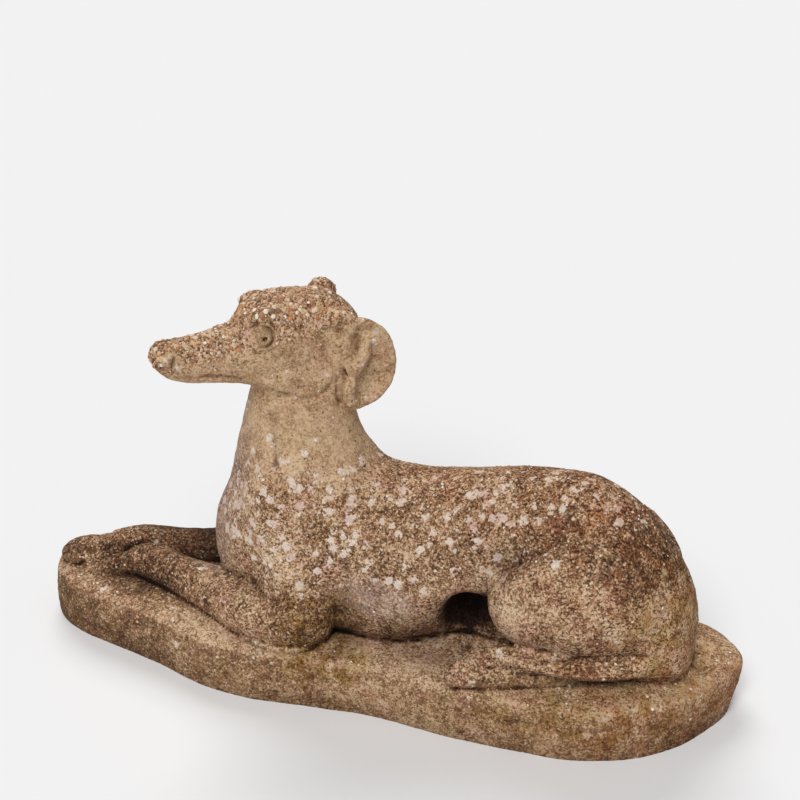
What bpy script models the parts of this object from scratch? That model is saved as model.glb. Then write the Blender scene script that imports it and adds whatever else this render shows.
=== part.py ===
"""A lying greyhound on its naturalistic base, cast in one piece in composition stone.

Metres, +Z up. The dog faces -X, its left side is -Y, and the base stands on Z = 0.
The figure is drawn over its own ground at Z = 0, with the tables and the sizes of its
face and tail as they are at DRAWN_LENGTH, from its far paw to its rump. It is then
brought to FIGURE_LENGTH and set on the base.
"""

import functools
import math

import bmesh
import bpy
import numpy as np
from mathutils import Matrix, Vector

# Base
BASE_LENGTH = 0.948
BASE_WIDTH = 0.304
BASE_THICKNESS = 0.072
BASE_MOUND = 0.018
EDGE_ROUND = 0.014
END_UNDERCUT = 0.026
UNDERCUT_TOWARDS = (math.cos(math.radians(20)), math.sin(math.radians(20)))
# Figure
FIGURE_LENGTH = 0.880
DRAWN_LENGTH = 0.880
HEAD_TURN = math.radians(40)
HEAD_PLACE = (-0.115, 0.0)
EAR_THICKNESS = 0.012
EYE_ALONG = 0.057
EYE_OUT = 0.0395
EYE_UP = 0.004
EYE_HEIGHT = 0.402
EYE_SIZES = (0.0105, 0.0095, 0.0095)
PUPIL_DIAMETER = 0.0045
PUPIL_DEPTH = 0.007
TAIL_RADIUS = 0.0175
# Mesh
FLESH_VOXEL = 0.006
CARVING_VOXEL = 0.004
TRIANGLES = 9600
RING_POINTS = 40
STONE_COLOUR = (0.36, 0.27, 0.18, 1.0)


def clear_scene():
    for obj in list(bpy.data.objects):
        bpy.data.objects.remove(obj)


def between(rows, steps, closed=False):
    """Rows of numbers, with smooth rows added between them (Catmull-Rom)."""
    rows = np.array(rows, float)
    count = len(rows)
    spans = count if closed else count - 1
    found = []
    for span in range(spans):
        picks = [span - 1, span, span + 1, span + 2]
        a, b, c, d = (rows[p % count] if closed else rows[min(max(p, 0), count - 1)] for p in picks)
        for step in range(steps):
            t = step / steps
            found.append(
                b + 0.5 * t * (c - a + t * (2 * a - 5 * b + 4 * c - d + t * (3 * (b - c) + d - a)))
            )
    if not closed:
        found.append(rows[-1])
    return np.array(found)


def new_object(name, mesh):
    obj = bpy.data.objects.new(name, mesh)
    bpy.context.scene.collection.objects.link(obj)
    return obj


def skin(name, rings):
    """A closed surface over rings of points that have equal counts."""
    mesh = bpy.data.meshes.new(name)
    shape = bmesh.new()
    rows = [[shape.verts.new(point) for point in ring] for ring in rings]
    for row, following in zip(rows, rows[1:]):
        for i in range(len(row)):
            j = (i + 1) % len(row)
            shape.faces.new((row[i], row[j], following[j], following[i]))
    shape.faces.new(reversed(rows[0]))
    shape.faces.new(rows[-1])
    bmesh.ops.recalc_face_normals(shape, faces=shape.faces)
    shape.to_mesh(mesh)
    shape.free()
    return new_object(name, mesh)


def loft(name, stations, place=Matrix.Identity(4), steps=4):
    """Sections across local X. A station is (x, low z, high z, half width, egg).

    A positive egg narrows the top of the section and widens its foot.
    """
    turns = np.linspace(0, 2 * math.pi, RING_POINTS, endpoint=False)
    rings = []
    for x, low, high, half_width, egg in between(stations, steps):
        z = (low + high) / 2 + (high - low) / 2 * np.sin(turns)
        y = half_width * np.cos(turns) * (1 - egg * np.sin(turns))
        rings.append([place @ Vector((x, y[i], z[i])) for i in range(RING_POINTS)])
    return skin(name, rings)


def ellipsoid(name, centre, sizes, turn=(0, 0, 0), place=Matrix.Identity(4)):
    """A ball with these half sizes, turned by these degrees about X, Y and Z."""
    bpy.ops.mesh.primitive_uv_sphere_add(segments=40, ring_count=24, radius=1)
    ball = bpy.context.object
    ball.name = name
    turned = place @ Matrix.Translation(centre)
    for degrees, axis in zip(turn, "XYZ"):
        turned = turned @ Matrix.Rotation(math.radians(degrees), 4, axis)
    ball.data.transform(turned @ Matrix.Diagonal((*sizes, 1)))
    return ball


def limb(name, points, closed=False, place=Matrix.Identity(4)):
    """A round tube through (x, y, z, radius) points, with its ends filled."""
    curve = bpy.data.curves.new(name, "CURVE")
    curve.dimensions = "3D"
    curve.bevel_depth = 1
    curve.bevel_resolution = 6
    curve.use_fill_caps = True
    rows = between(points, 5, closed)
    spline = curve.splines.new("POLY")
    spline.points.add(len(rows) - 1)
    spline.use_cyclic_u = closed
    for point, (x, y, z, radius) in zip(spline.points, rows):
        point.co = (*(place @ Vector((x, y, z))), 1)
        point.radius = radius
    tube = bpy.data.objects.new(name, curve)
    bpy.context.scene.collection.objects.link(tube)
    return as_mesh(tube)


def as_mesh(obj):
    """The object with its modifiers applied, as a plain mesh in its place."""
    bpy.context.view_layer.update()
    evaluated = obj.evaluated_get(bpy.context.evaluated_depsgraph_get())
    mesh = bpy.data.meshes.new_from_object(evaluated)
    mesh.transform(obj.matrix_world)
    name = obj.name
    bpy.data.objects.remove(obj)
    shape = bmesh.new()
    shape.from_mesh(mesh)
    bmesh.ops.remove_doubles(shape, verts=shape.verts, dist=1e-5)
    bmesh.ops.recalc_face_normals(shape, faces=shape.faces)
    shape.to_mesh(mesh)
    shape.free()
    return new_object(name, mesh)


def mirrored(obj):
    """A copy of the object on the dog's other side."""
    mesh = obj.data.copy()
    mesh.transform(Matrix.Diagonal((1, -1, 1, 1)))
    mesh.flip_normals()
    return new_object(obj.name + "_far", mesh)


def merge(name, forms, voxel, smoothing):
    """The forms as one skin, with the seams between them softened."""
    shape = bmesh.new()
    for form in forms:
        shape.from_mesh(form.data)
        bpy.data.objects.remove(form)
    mesh = bpy.data.meshes.new(name)
    shape.to_mesh(mesh)
    shape.free()
    obj = new_object(name, mesh)
    remesh = obj.modifiers.new("Skin", "REMESH")
    remesh.mode = "VOXEL"
    remesh.voxel_size = voxel
    soften = obj.modifiers.new("Soften", "SMOOTH")
    soften.factor = 0.5
    soften.iterations = smoothing
    return as_mesh(obj)


def carve(obj, path, half_width, depth, place=Matrix.Identity(4)):
    """Presses a groove into the surface along the path. A negative depth raises a ridge."""
    laid = [obj.closest_point_on_mesh(place @ Vector(point))[1] for point in path]
    line = between(laid, 12)
    run = np.linspace(0, 1, len(line))
    strength = np.minimum(1, np.minimum(run, 1 - run) * 6 + 0.25)
    mesh = obj.data
    points = np.empty(len(mesh.vertices) * 3)
    normals = np.empty(len(mesh.vertices) * 3)
    mesh.vertices.foreach_get("co", points)
    mesh.vertices.foreach_get("normal", normals)
    points, normals = points.reshape(-1, 3), normals.reshape(-1, 3)
    nearest = np.full(len(points), np.inf)
    share = np.zeros(len(points))
    for place_on_line, weight in zip(line, strength):
        distance = np.linalg.norm(points - place_on_line, axis=1)
        closer = distance < nearest
        nearest[closer] = distance[closer]
        share[closer] = weight
    fall = np.clip(1 - (nearest / half_width) ** 2, 0, 1) ** 2
    points -= normals * (depth * fall * share)[:, None]
    mesh.vertices.foreach_set("co", points.ravel())
    mesh.update()


def make_trunk():
    """Chest, ribs, tucked-up loin and rump, from the breastbone to the tail."""
    return loft(
        "trunk",
        [
            (-0.236, 0.062, 0.112, 0.016, 0.0),
            (-0.220, 0.017, 0.157, 0.050, 0.0),
            (-0.180, -0.018, 0.202, 0.078, 0.0),
            (-0.110, -0.026, 0.222, 0.095, 0.05),
            (-0.030, -0.029, 0.217, 0.101, 0.12),
            (0.050, -0.024, 0.218, 0.101, 0.12),
            (0.110, 0.010, 0.228, 0.091, 0.05),
            (0.160, 0.062, 0.239, 0.078, 0.0),
            (0.215, 0.067, 0.247, 0.078, 0.0),
            (0.275, 0.027, 0.248, 0.082, 0.10),
            (0.330, -0.008, 0.220, 0.084, 0.20),
            (0.372, -0.018, 0.173, 0.073, 0.20),
            (0.396, -0.016, 0.130, 0.056, 0.10),
            (0.409, 0.002, 0.092, 0.034, 0.10),
        ],
    )


def make_web():
    """The stone left standing under the loin, between the two blind recesses."""
    return ellipsoid("web", (0.165, 0, 0.037), (0.150, 0.040, 0.075))


def make_neck():
    """The arched neck. Local X runs up, and local Z runs to the dog's front."""
    foot = 0.182
    rise = EYE_HEIGHT - foot
    return loft(
        "neck",
        [
            (0.032, -0.060, 0.222, 0.070, 0.0),
            (0.082, -0.070, 0.232, 0.084, 0.1),
            (0.132, -0.060, 0.224, 0.088, 0.15),
            (foot, -0.022, 0.213, 0.080, 0.15),
            (foot + 0.18 * rise, 0.014, 0.204, 0.069, 0.1),
            (foot + 0.34 * rise, 0.035, 0.196, 0.060, 0.0),
            (foot + 0.50 * rise, 0.044, 0.186, 0.056, 0.0),
            (foot + 0.68 * rise, 0.046, 0.176, 0.054, 0.0),
            (foot + 0.86 * rise, 0.056, 0.160, 0.048, 0.0),
        ],
        Matrix.Rotation(math.radians(-90), 4, "Y"),
    )


def head_place():
    """Head axes, with the eye line at Z = 0: X runs to the nose, and Y to the head's left, near side."""
    turned = Matrix.Rotation(math.pi + HEAD_TURN, 4, "Z")
    return Matrix.Translation((*HEAD_PLACE, EYE_HEIGHT)) @ turned


def make_skull():
    """Cranium and the long tapering muzzle."""
    return loft(
        "skull",
        [
            (-0.078, -0.040, -0.008, 0.014, 0.0),
            (-0.066, -0.060, 0.012, 0.034, 0.0),
            (-0.040, -0.082, 0.033, 0.047, -0.05),
            (0.000, -0.092, 0.042, 0.051, -0.05),
            (0.034, -0.087, 0.044, 0.049, -0.05),
            (0.058, -0.079, 0.037, 0.044, -0.05),
            (0.071, -0.075, 0.029, 0.040, 0.0),
            (0.084, -0.071, 0.011, 0.035, 0.0),
            (0.096, -0.069, 0.007, 0.032, 0.0),
            (0.112, -0.066, 0.004, 0.029, 0.05),
            (0.142, -0.062, 0.000, 0.0255, 0.1),
            (0.168, -0.053, -0.002, 0.0230, 0.0),
            (0.184, -0.039, -0.005, 0.0185, 0.0),
            (0.191, -0.025, -0.012, 0.0095, 0.0),
        ],
        head_place(),
    )


def make_ear(side, shift):
    """A folded ear: a rolled rim, thickest at its lower front, round a hollow leaf with a fold."""
    outline = [
        (-0.044, 0.006, 0.046, 0.0060),
        (-0.066, 0.011, 0.056, 0.0060),
        (-0.087, -0.005, 0.062, 0.0068),
        (-0.098, -0.036, 0.064, 0.0075),
        (-0.096, -0.067, 0.062, 0.0075),
        (-0.081, -0.090, 0.058, 0.0075),
        (-0.060, -0.098, 0.056, 0.0080),
        (-0.047, -0.094, 0.061, 0.0090),
        (-0.043, -0.076, 0.064, 0.0085),
        (-0.048, -0.058, 0.063, 0.0070),
        (-0.055, -0.036, 0.050, 0.0055),
        (-0.050, -0.012, 0.042, 0.0055),
    ]
    fold_line = [
        (-0.070, -0.012, 0.056, 0.0060),
        (-0.064, -0.026, 0.063, 0.0085),
        (-0.058, -0.037, 0.065, 0.0080),
        (-0.050, -0.046, 0.066, 0.0095),
        (-0.042, -0.050, 0.059, 0.0060),
    ]
    place = head_place()
    rows = np.array([(x, side * out, z, radius) for x, z, out, radius in outline])
    rows[:, :3] += shift
    fold = np.array([(x, side * out, z, radius) for x, z, out, radius in fold_line])
    fold[:, :3] += shift
    root = Vector((-0.049, side * 0.053, 0.004)) + Vector(shift)
    foot = root + Vector((0.008, -side * 0.004, -0.032))
    middle = rows[:, :3].mean(axis=0)
    leaf = ((0.45, -0.005), (0.95, 0.000), (0.95, -EAR_THICKNESS), (0.50, -1.5 * EAR_THICKNESS))
    rings = []
    for share, outward in leaf:
        ring = between(middle + (rows[:, :3] - middle) * share, 4, closed=True)
        ring[:, 1] += side * outward
        rings.append([place @ Vector(point) for point in ring])
    return [
        limb("ear_rim", rows, closed=True, place=place),
        skin("ear_leaf", rings),
        limb("ear_fold", fold, place=place),
        ellipsoid("ear_root", root, (0.0070, 0.0080, 0.0110), (0, 10, 0), place),
        ellipsoid("ear_foot", foot, (0.017, 0.011, 0.026), place=place),
    ]


def make_head():
    """The skull with its brows, eyes, cheeks, nose wings and ears."""
    ball = functools.partial(ellipsoid, place=head_place())
    pieces = [make_skull()]
    for side, ear_shift in ((1, (0, 0, 0)), (-1, (0.018, 0.006, -0.014))):
        pieces += [
            ball("brow", (0.050, side * 0.025, 0.027), (0.021, 0.012, 0.010), (0, 10, side * 14)),
            ball("eye", (EYE_ALONG, side * EYE_OUT, EYE_UP), EYE_SIZES, (0, 0, side * 18)),
            ball("cheek", (0.008, side * 0.026, -0.058), (0.054, 0.028, 0.034), (0, 0, 0)),
            ball("nose_wing", (0.173, side * 0.018, -0.017), (0.012, 0.010, 0.010), (0, 30, 0)),
        ]
        pieces += make_ear(side, ear_shift)
    pieces.append(ball("near_ear_root", (-0.036, 0.040, 0.016), (0.024, 0.013, 0.012), (0, 8, 0)))
    pieces.append(ball("far_ear_root", (-0.043, -0.043, 0.013), (0.020, 0.018, 0.021), (0, 6, 0)))
    return pieces


def make_shoulder():
    """The near shoulder blade and upper arm, which melt into the trunk."""
    return [
        ellipsoid("near_shoulder", (-0.108, -0.054, 0.124), (0.064, 0.047, 0.106), (0, -16, 0)),
        ellipsoid("near_upper_arm", (-0.092, -0.078, 0.062), (0.054, 0.042, 0.062), (0, 0, 0)),
    ]


def make_near_foreleg():
    return [
        ellipsoid("near_elbow", (-0.086, -0.093, 0.030), (0.050, 0.042, 0.044), (0, 0, -15)),
        limb(
            "near_forearm",
            [
                (-0.085, -0.096, 0.024, 0.043),
                (-0.150, -0.089, 0.020, 0.040),
                (-0.220, -0.062, 0.016, 0.034),
                (-0.285, -0.038, 0.014, 0.028),
                (-0.330, -0.024, 0.017, 0.026),
                (-0.360, -0.028, 0.010, 0.022),
            ],
        ),
        ellipsoid("near_paw", (-0.384, -0.032, 0.006), (0.042, 0.024, 0.021), (0, -6, 20)),
    ]


def make_far_foreleg():
    """The far foreleg, which reaches further forward."""
    return [
        ellipsoid("far_elbow", (-0.095, 0.090, 0.030), (0.050, 0.040, 0.044), (0, 0, 15)),
        limb(
            "far_forearm",
            [
                (-0.090, 0.092, 0.026, 0.040),
                (-0.160, 0.078, 0.024, 0.034),
                (-0.230, 0.056, 0.020, 0.026),
                (-0.300, 0.034, 0.017, 0.023),
                (-0.360, 0.014, 0.020, 0.025),
                (-0.400, -0.004, 0.015, 0.022),
            ],
        ),
        ellipsoid("far_paw", (-0.430, -0.018, 0.010), (0.040, 0.025, 0.022), (0, -4, 24)),
    ]


def make_thigh():
    return [
        ellipsoid("near_thigh", (0.284, -0.056, 0.110), (0.102, 0.058, 0.086), (0, 16, 12)),
        ellipsoid("near_knee", (0.222, -0.075, 0.105), (0.059, 0.045, 0.061)),
    ]


def make_hind_foot():
    """The hock and paw, which lie along the base below the thigh and the tail."""
    return [
        limb(
            "near_hock",
            [
                (0.325, -0.052, 0.006, 0.007),
                (0.290, -0.070, 0.007, 0.007),
                (0.255, -0.086, 0.008, 0.008),
                (0.225, -0.097, 0.009, 0.011),
                (0.198, -0.106, 0.010, 0.014),
                (0.176, -0.113, 0.011, 0.017),
            ],
        ),
        ellipsoid("near_hind_paw", (0.159, -0.119, 0.008), (0.039, 0.017, 0.022), (0, -8, 25)),
    ]


def make_tail():
    """The tail, which comes round the rump and lies along the near thigh."""
    radius = TAIL_RADIUS
    return limb(
        "tail",
        [
            (0.362, 0.044, 0.102, 1.05 * radius),
            (0.384, 0.040, 0.060, 1.10 * radius),
            (0.390, 0.010, 0.042, 1.05 * radius),
            (0.380, -0.032, 0.038, 1.05 * radius),
            (0.350, -0.064, 0.036, radius),
            (0.300, -0.087, 0.034, 0.97 * radius),
            (0.250, -0.098, 0.035, 0.90 * radius),
            (0.205, -0.103, 0.037, 0.80 * radius),
            (0.170, -0.104, 0.033, 0.65 * radius),
            (0.150, -0.103, 0.027, 0.45 * radius),
            (0.138, -0.102, 0.020, 0.20 * radius),
        ],
    )


def carve_head(dog):
    """Eyelids, mouth, nostrils, jaw line and the hollows beside the ears."""
    place = head_place()
    turns = np.linspace(0, 2 * math.pi, 9)
    for side in (1, -1):
        lids = [(math.cos(a) * 0.0130 + EYE_ALONG, math.sin(a) * 0.0120 + EYE_UP) for a in turns]
        carve(dog, [(x, side * 1.2 * EYE_OUT, z) for x, z in lids], 0.0060, 0.0050, place)
        mouth = [(0.180, 0.016, -0.034), (0.160, 0.024, -0.042), (0.125, 0.030, -0.049)]
        mouth += [(0.092, 0.034, -0.053)]
        carve(dog, [(x, side * y, z) for x, y, z in mouth], 0.0055, 0.0045, place)
        carve(dog, [(0.180, side * 0.020, -0.013), (0.166, side * 0.026, -0.023)], 0.0050, 0.0030, place)
        jaw = [(0.060, 0.040, -0.066), (0.038, 0.044, -0.078), (0.014, 0.046, -0.085)]
        jaw += [(-0.014, 0.046, -0.083)]
        carve(dog, [(x, side * y, z) for x, y, z in jaw], 0.0100, 0.0065, place)
        gap = [(-0.040, 0.060, -0.040), (-0.034, 0.060, -0.056), (-0.032, 0.058, -0.078)]
        gap += [(-0.035, 0.058, -0.100)]
        carve(dog, [(x, side * y, z) for x, y, z in gap], 0.0070, 0.0060, place)


def carve_body(dog):
    """Creases that part the legs, the thigh, the tail and the toes."""
    carve(dog, [(-0.024, -0.100, 0.132), (-0.020, -0.100, 0.082), (-0.030, -0.098, 0.032)], 0.016, 0.006)
    carve(dog, [(-0.225, -0.060, 0.162), (-0.220, -0.066, 0.112), (-0.205, -0.080, 0.052)], 0.020, 0.003)
    thigh = [(0.163, -0.090, 0.100), (0.166, -0.088, 0.121), (0.175, -0.086, 0.142)]
    thigh += [(0.196, -0.085, 0.168), (0.224, -0.083, 0.184), (0.256, -0.078, 0.194)]
    carve(dog, thigh, 0.0110, 0.0042)
    tail_crease = [(0.172, -0.115, 0.056), (0.215, -0.115, 0.054), (0.262, -0.110, 0.054)]
    tail_crease += [(0.312, -0.096, 0.055), (0.356, -0.072, 0.057), (0.392, -0.040, 0.060)]
    carve(dog, tail_crease, 0.0075, 0.0050)
    paw_gap = [(-0.405, -0.050, 0.017), (-0.393, -0.042, 0.019), (-0.373, -0.021, 0.022)]
    paw_gap += [(-0.358, -0.004, 0.027)]
    carve(dog, paw_gap, 0.0070, 0.0060)
    under_tail = [(0.150, -0.118, 0.030), (0.180, -0.121, 0.028), (0.215, -0.118, 0.022)]
    under_tail += [(0.255, -0.110, 0.018), (0.300, -0.096, 0.017), (0.350, -0.070, 0.018)]
    carve(dog, under_tail, 0.0065, 0.0050)
    for rise in (0.0, 0.009):
        carve(dog, [(-0.430, -0.060, 0.010 + rise), (-0.400, -0.060, 0.012 + rise)], 0.0045, 0.0020)
        carve(dog, [(-0.475, -0.044, 0.012 + rise), (-0.445, -0.050, 0.014 + rise)], 0.0045, 0.0020)


def base_outline(inset, undercut):
    """Plan of the base as points round it, drawn in by the inset, and by the undercut at its far rear."""
    shares = [
        (-1.000, 0.02),
        (-0.965, -0.34),
        (-0.865, -0.58),
        (-0.710, -0.71),
        (-0.560, -0.83),
        (-0.410, -0.98),
        (-0.285, -1.02),
        (-0.170, -0.99),
        (-0.060, -0.94),
        (0.100, -0.90),
        (0.285, -0.95),
        (0.500, -0.94),
        (0.650, -0.89),
        (0.800, -0.68),
        (0.920, -0.28),
        (1.000, 0.30),
        (0.940, 0.64),
        (0.820, 0.82),
        (0.580, 0.92),
        (0.250, 0.94),
        (-0.100, 0.93),
        (-0.400, 0.92),
        (-0.660, 0.76),
        (-0.870, 0.48),
        (-0.965, 0.24),
    ]
    middle = (-0.008, 0.0)
    outline = between(shares, 4, closed=True)
    outline = outline * (BASE_LENGTH / 2, BASE_WIDTH / 2) + middle
    ahead = np.roll(outline, -1, axis=0) - np.roll(outline, 1, axis=0)
    outward = np.stack([ahead[:, 1], -ahead[:, 0]], axis=1)
    outward /= np.linalg.norm(outward, axis=1)[:, None]
    rear = np.clip(outward @ UNDERCUT_TOWARDS, 0, 1) ** 5
    return outline - outward * (inset + undercut * rear)[:, None]


def make_base():
    """The rough slab of ground, rounded at its rim, drawn in below, and humped under the dog."""
    top = BASE_THICKNESS
    levels = [
        (-0.3 * top, 0.000, END_UNDERCUT),
        (0.000, 0.000, END_UNDERCUT),
        (0.25 * top, -0.001, 0.7 * END_UNDERCUT),
        (0.55 * top, -0.001, 0.25 * END_UNDERCUT),
        (top - EDGE_ROUND, 0.001, 0.0),
        (top - 0.3 * EDGE_ROUND, 0.35 * EDGE_ROUND, 0.0),
        (top, EDGE_ROUND, 0.0),
        (top + 0.004, 3 * EDGE_ROUND, 0.0),
    ]
    rings = [[(x, y, z) for x, y in base_outline(inset, under)] for z, inset, under in levels]
    mound_sizes = (0.40 * BASE_LENGTH, 0.41 * BASE_WIDTH, top / 2 + BASE_MOUND)
    mound = ellipsoid("mound", (0.05, 0, top / 2), mound_sizes)
    return [skin("slab", rings), mound]


def carve_base(casting):
    """The narrow slits at the feet, and the strata on the sides."""
    ground = BASE_THICKNESS
    slit = [(-0.410, -0.052), (-0.356, -0.042), (-0.323, -0.051), (-0.286, -0.062), (-0.222, -0.092)]
    slit += [(-0.153, -0.129), (-0.100, -0.140), (-0.062, -0.126), (-0.046, -0.100)]
    carve(casting, [(x, y, ground) for x, y in slit], 0.0060, 0.0055)
    hind = [(0.120, -0.141), (0.149, -0.138), (0.195, -0.122), (0.241, -0.104), (0.287, -0.086)]
    carve(casting, [(x, y, ground) for x, y in hind], 0.0060, 0.0045)
    far_paw = [(-0.468, -0.036, ground), (-0.434, -0.030, ground), (-0.398, -0.022, ground)]
    carve(casting, far_paw, 0.007, 0.005)
    carve(casting, [(0.205, -0.152, 0.6 * ground), (0.245, -0.152, 0.65 * ground)], 0.007, 0.003)
    carve(casting, [(0.295, -0.146, 0.6 * ground), (0.350, -0.130, 0.65 * ground)], 0.008, 0.003)
    carve(casting, [(-0.425, -0.085, 0.2 * ground), (-0.330, -0.115, 0.3 * ground)], 0.014, 0.003)


def figure_place():
    """Brings the drawn figure to its real length, on the base."""
    return Matrix.Translation((0, 0, BASE_THICKNESS)) @ Matrix.Scale(FIGURE_LENGTH / DRAWN_LENGTH, 4)


def cut_away(casting, cutters):
    """The casting without what lies inside the cutters."""
    for cutter in cutters:
        cut = casting.modifiers.new("Hollow", "BOOLEAN")
        cut.operation = "DIFFERENCE"
        cut.object = cutter
    casting = as_mesh(casting)
    for cutter in cutters:
        bpy.data.objects.remove(cutter)
    return casting


def cut_flanks(casting):
    """The blind recess between belly and knee on each side."""
    centres = [(0.132, side * 0.081, 0.051) for side in (1, -1)]
    sizes = (0.033, 0.060, 0.048)
    return cut_away(casting, [ellipsoid("flank", at, sizes, place=figure_place()) for at in centres])


def drill_pupils(casting):
    drills = []
    for side in (1, -1):
        bpy.ops.mesh.primitive_cylinder_add(vertices=12, radius=PUPIL_DIAMETER / 2, depth=2 * PUPIL_DEPTH)
        drill = bpy.context.object
        front = Matrix.Translation((EYE_ALONG + 0.002, side * (EYE_OUT + EYE_SIZES[1]), EYE_UP))
        aim = front @ Matrix.Rotation(math.radians(90), 4, "X")
        drill.data.transform(figure_place() @ head_place() @ aim)
        drills.append(drill)
    return cut_away(casting, drills)


def lighten(casting):
    """The casting with about TRIANGLES faces."""
    lighter = casting.modifiers.new("Fewer faces", "DECIMATE")
    lighter.ratio = TRIANGLES / (2 * len(casting.data.polygons))
    return as_mesh(casting)


def make_casting():
    shoulder = make_shoulder()
    flesh = [make_trunk(), make_web(), make_neck(), *shoulder, *map(mirrored, shoulder)]
    flesh = merge("flesh", flesh, FLESH_VOXEL, 28)
    haunch = [*make_thigh(), *make_hind_foot()]
    figure = [flesh, make_tail(), *haunch, *map(mirrored, haunch)]
    figure += [*make_near_foreleg(), *make_far_foreleg(), *make_head()]
    dog = merge("dog", figure, CARVING_VOXEL, 5)
    carve_head(dog)
    carve_body(dog)
    dog.data.transform(figure_place())
    casting = merge("greyhound_on_base", [dog, *make_base()], CARVING_VOXEL, 2)
    carve_base(casting)
    return drill_pupils(lighten(cut_flanks(casting)))


def stand_at_origin(casting):
    """Moves the casting so that the middle of its box is over the origin."""
    corners = np.array([vertex.co for vertex in casting.data.vertices])
    middle = (corners.min(axis=0) + corners.max(axis=0)) / 2
    casting.data.transform(Matrix.Translation((-middle[0], -middle[1], 0)))


def flat_underside(obj):
    """Cuts the casting off flat at Z = 0, where it stands."""
    bpy.ops.mesh.primitive_cube_add(size=1, location=(0, 0, -0.5), scale=(2, 1, 1))
    floor = bpy.context.object
    floor.name = "floor_cutter"
    floor.display_type = "WIRE"
    floor.hide_render = True
    cut = obj.modifiers.new("Underside", "BOOLEAN")
    cut.operation = "DIFFERENCE"
    cut.object = floor


def stone():
    material = bpy.data.materials.new("composition_stone")
    material.use_nodes = True
    shader = material.node_tree.nodes["Principled BSDF"]
    shader.inputs["Base Color"].default_value = STONE_COLOUR
    shader.inputs["Roughness"].default_value = 0.9
    material.diffuse_color = STONE_COLOUR
    return material


def main():
    clear_scene()
    casting = make_casting()
    stand_at_origin(casting)
    flat_underside(casting)
    casting.data.materials.append(stone())


main()
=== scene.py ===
"""Looks of a lying greyhound on its base, cast in composition stone and long weathered outdoors.

The casting is modelled again from the same forms as its CAD solid, with finer carving, and
its larger aggregate stands out of the skin as separate grains. Metres, +Z up. The dog faces
-X and its left side is -Y. The figure is drawn over its own ground at Z = 0 and is then set
on the base.
"""

import functools
import math

import bmesh
import bpy
import numpy as np
from mathutils import Matrix, Vector, noise

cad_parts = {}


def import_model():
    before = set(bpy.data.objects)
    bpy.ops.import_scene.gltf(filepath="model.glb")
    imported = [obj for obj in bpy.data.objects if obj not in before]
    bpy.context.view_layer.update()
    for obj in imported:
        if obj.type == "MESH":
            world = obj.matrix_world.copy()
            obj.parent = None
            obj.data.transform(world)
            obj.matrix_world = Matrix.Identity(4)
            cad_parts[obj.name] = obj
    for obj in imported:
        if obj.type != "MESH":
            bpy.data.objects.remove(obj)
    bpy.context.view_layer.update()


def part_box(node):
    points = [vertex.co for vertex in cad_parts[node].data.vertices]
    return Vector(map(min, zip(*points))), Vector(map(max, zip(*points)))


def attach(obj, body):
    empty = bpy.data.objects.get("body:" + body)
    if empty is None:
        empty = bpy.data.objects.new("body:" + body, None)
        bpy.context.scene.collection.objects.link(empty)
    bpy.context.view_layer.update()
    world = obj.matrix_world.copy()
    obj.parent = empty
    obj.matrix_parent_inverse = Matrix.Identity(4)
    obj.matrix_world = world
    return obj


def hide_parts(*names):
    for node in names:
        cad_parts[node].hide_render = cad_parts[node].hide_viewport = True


# Base
BASE_LENGTH = 0.948
BASE_WIDTH = 0.304
BASE_THICKNESS = 0.072
BASE_MOUND = 0.018
EDGE_ROUND = 0.014
END_UNDERCUT = 0.026
UNDERCUT_TOWARDS = (math.cos(math.radians(20)), math.sin(math.radians(20)))
# Figure
HEAD_TURN = math.radians(40)
HEAD_PLACE = (-0.115, 0.0)
EAR_THICKNESS = 0.012
EYE_ALONG = 0.057
EYE_OUT = 0.0395
EYE_UP = 0.004
EYE_HEIGHT = 0.402
EYE_SIZES = (0.0105, 0.0095, 0.0095)
PUPIL_RADIUS = 0.0031
EYE_BUTTON_RADIUS = 0.0100
EYELID_GROOVE_RADIUS = 0.0116
EYELID_RADIUS = 0.0158
EYELID_TURN = math.radians(175)
TAIL_RADIUS = 0.0175
NECK_FOOT = 0.182
# Mesh
FLESH_VOXEL = 0.006
CARVING_VOXEL = 0.0023
TRIANGLES = 177000
RING_POINTS = 56
# Grains of aggregate that stand out of the skin
GRAIN_SPACING = 0.0034
GRAINS_PER_SQUARE_METRE = 48000
SMALLEST_GRAIN = 0.0024
LARGEST_GRAIN = 0.0092
GRAIN_SKEW = 1.9
GRAIN_SINK = 0.20
# Sizes in the stone's colour and relief
SAND_SIZE = 0.0024
GRIT_SIZE = 0.0052
LICHEN_SIZE = 0.0125
PIT_SPACING = 0.0085
# View
CAMERA_AZIMUTH = math.radians(20)
CAMERA_HEIGHT = math.radians(27)
CAMERA_DISTANCE = 2.35
CAMERA_TARGET = (0.029, 0.003, 0.387)
CAMERA_LENS = 85
SKY_POWER = 0.21


def between(rows, steps, closed=False):
    """Rows of numbers, with smooth rows added between them (Catmull-Rom)."""
    rows = np.array(rows, float)
    count = len(rows)
    spans = count if closed else count - 1
    found = []
    for span in range(spans):
        picks = [span - 1, span, span + 1, span + 2]
        a, b, c, d = (rows[p % count] if closed else rows[min(max(p, 0), count - 1)] for p in picks)
        for step in range(steps):
            t = step / steps
            found.append(
                b + 0.5 * t * (c - a + t * (2 * a - 5 * b + 4 * c - d + t * (3 * (b - c) + d - a)))
            )
    if not closed:
        found.append(rows[-1])
    return np.array(found)


def new_object(name, data):
    obj = bpy.data.objects.new(name, data)
    bpy.context.scene.collection.objects.link(obj)
    return obj


def shape_object(name, shape):
    """An object whose mesh is the finished bmesh."""
    mesh = bpy.data.meshes.new(name)
    shape.to_mesh(mesh)
    shape.free()
    return new_object(name, mesh)


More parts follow.
